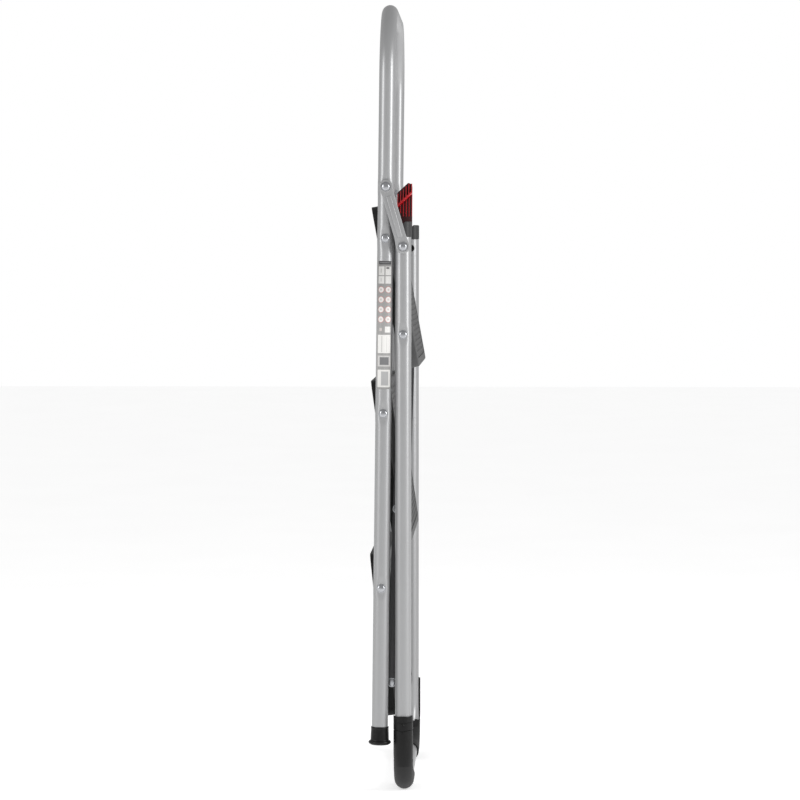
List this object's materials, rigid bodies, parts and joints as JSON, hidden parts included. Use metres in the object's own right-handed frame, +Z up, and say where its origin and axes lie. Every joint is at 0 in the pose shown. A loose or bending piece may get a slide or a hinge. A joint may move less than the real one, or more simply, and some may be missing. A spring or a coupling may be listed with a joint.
{
  "type": "step ladder",
  "caption": "Folding household step ladder with tubular steel frames, a high hand loop, wide anti-slip treads, side links, stay bars and a catch that locks it open.",
  "frame": {"origin": "On the floor, under the middle of the folded ladder's bounding box.", "axes": "+X rearward, the way the folded treads' upper faces look; +Y to the left of a person climbing it; +Z up."},
  "size_m": [0.0686, 0.453, 1.0749],
  "materials": {
    "silver_paint": "satin silver powder coat",
    "zinc_steel": "bright zinc-plated rivet steel",
    "black_plastic": "black moulded plastic, fine grain",
    "grey_mat": "dark grey textured anti-slip mat",
    "red_plastic": "red moulded plastic, slight gloss"
  },
  "bodies": {
    "rear_frame": {"rear_frame_tube": "silver_paint", "rear_shoe_left": "black_plastic", "rear_shoe_right": "black_plastic", "saddle_cap_left": "black_plastic", "saddle_cap_right": "black_plastic", "catch_pin": "zinc_steel", "rear_pivot_rivet_left": "zinc_steel", "rear_pivot_rivet_right": "zinc_steel"},
    "platform": {"platform_shell": "black_plastic", "platform_mat": "grey_mat"},
    "front_frame": {"front_frame_tube": "silver_paint", "front_foot_left": "black_plastic", "front_foot_right": "black_plastic", "platform_pivot_rivet_left": "zinc_steel", "platform_pivot_rivet_right": "zinc_steel", "middle_tread_pivot_rivet_left": "zinc_steel", "middle_tread_pivot_rivet_right": "zinc_steel", "lower_tread_pivot_rivet_left": "zinc_steel", "lower_tread_pivot_rivet_right": "zinc_steel", "link_upper_rivet_left": "zinc_steel", "link_upper_rivet_right": "zinc_steel"},
    "middle_tread": {"middle_tread_shell": "black_plastic", "middle_tread_mat": "grey_mat"},
    "lower_tread": {"lower_tread_shell": "black_plastic", "lower_tread_mat": "grey_mat"},
    "lock_catch": {"lock_catch": "red_plastic"},
    "link_left": {"link_left": "silver_paint", "link_lower_rivet_left": "zinc_steel"},
    "stay_left": {"stay_bar_left": "silver_paint", "stay_middle_rivet_left": "zinc_steel", "stay_lower_rivet_left": "zinc_steel"},
    "link_right": {"link_right": "silver_paint", "link_lower_rivet_right": "zinc_steel"},
    "stay_right": {"stay_bar_right": "silver_paint", "stay_middle_rivet_right": "zinc_steel", "stay_lower_rivet_right": "zinc_steel"}
  },
  "joints": [
    {"name": "platform_pivot", "type": "hinge", "parent": "rear_frame", "child": "platform", "pos_m": [0.01292, 0, 0.6245], "axis": [0, -1, 0], "range_deg": [0, 63.19]},
    {"name": "front_frame_pivot", "type": "hinge", "parent": "platform", "child": "front_frame", "pos_m": [-0.01098, 0, 0.75442], "axis": [0, 1, 0], "range_deg": [0, 108.4]},
    {"name": "middle_tread_pivot", "type": "hinge", "parent": "front_frame", "child": "middle_tread", "pos_m": [-0.01374, 0, 0.51784], "axis": [0, -1, 0], "range_deg": [0, 110.82]},
    {"name": "lower_tread_pivot", "type": "hinge", "parent": "front_frame", "child": "lower_tread", "pos_m": [-0.01651, 0, 0.28125], "axis": [0, -1, 0], "range_deg": [0, 112.82]},
    {"name": "link_pivot_left", "type": "hinge", "parent": "front_frame", "child": "link_left", "pos_m": [-0.01017, 0, 0.82361], "axis": [0, -1, 0], "range_deg": [0, 142.44]},
    {"name": "stay_pivot_left", "type": "hinge", "parent": "rear_frame", "child": "stay_left", "pos_m": [0.01292, 0, 0.6245], "axis": [0, 1, 0], "range_deg": [0, 44.08]},
    {"name": "link_pivot_right", "type": "hinge", "parent": "front_frame", "child": "link_right", "pos_m": [-0.01017, 0, 0.82361], "axis": [0, -1, 0], "range_deg": [0, 142.44]},
    {"name": "stay_pivot_right", "type": "hinge", "parent": "rear_frame", "child": "stay_right", "pos_m": [0.01292, 0, 0.6245], "axis": [0, 1, 0], "range_deg": [0, 44.08]},
    {"name": "catch_pivot", "type": "hinge", "parent": "rear_frame", "child": "lock_catch", "pos_m": [0.01292, -0.1939, 0.7645], "axis": [1, 0, 0], "range_deg": [0, 14]}
  ],
  "couplings": [
    {"joint": "front_frame_pivot", "follows": "platform_pivot", "ratio": 1.7154},
    {"joint": "middle_tread_pivot", "follows": "platform_pivot", "ratio": 1.7537},
    {"joint": "lower_tread_pivot", "follows": "platform_pivot", "ratio": 1.7854},
    {"joint": "link_pivot_left", "follows": "platform_pivot", "ratio": 2.2541},
    {"joint": "stay_pivot_left", "follows": "platform_pivot", "ratio": 0.69751},
    {"joint": "link_pivot_right", "follows": "platform_pivot", "ratio": 2.2541},
    {"joint": "stay_pivot_right", "follows": "platform_pivot", "ratio": 0.69751}
  ]
}
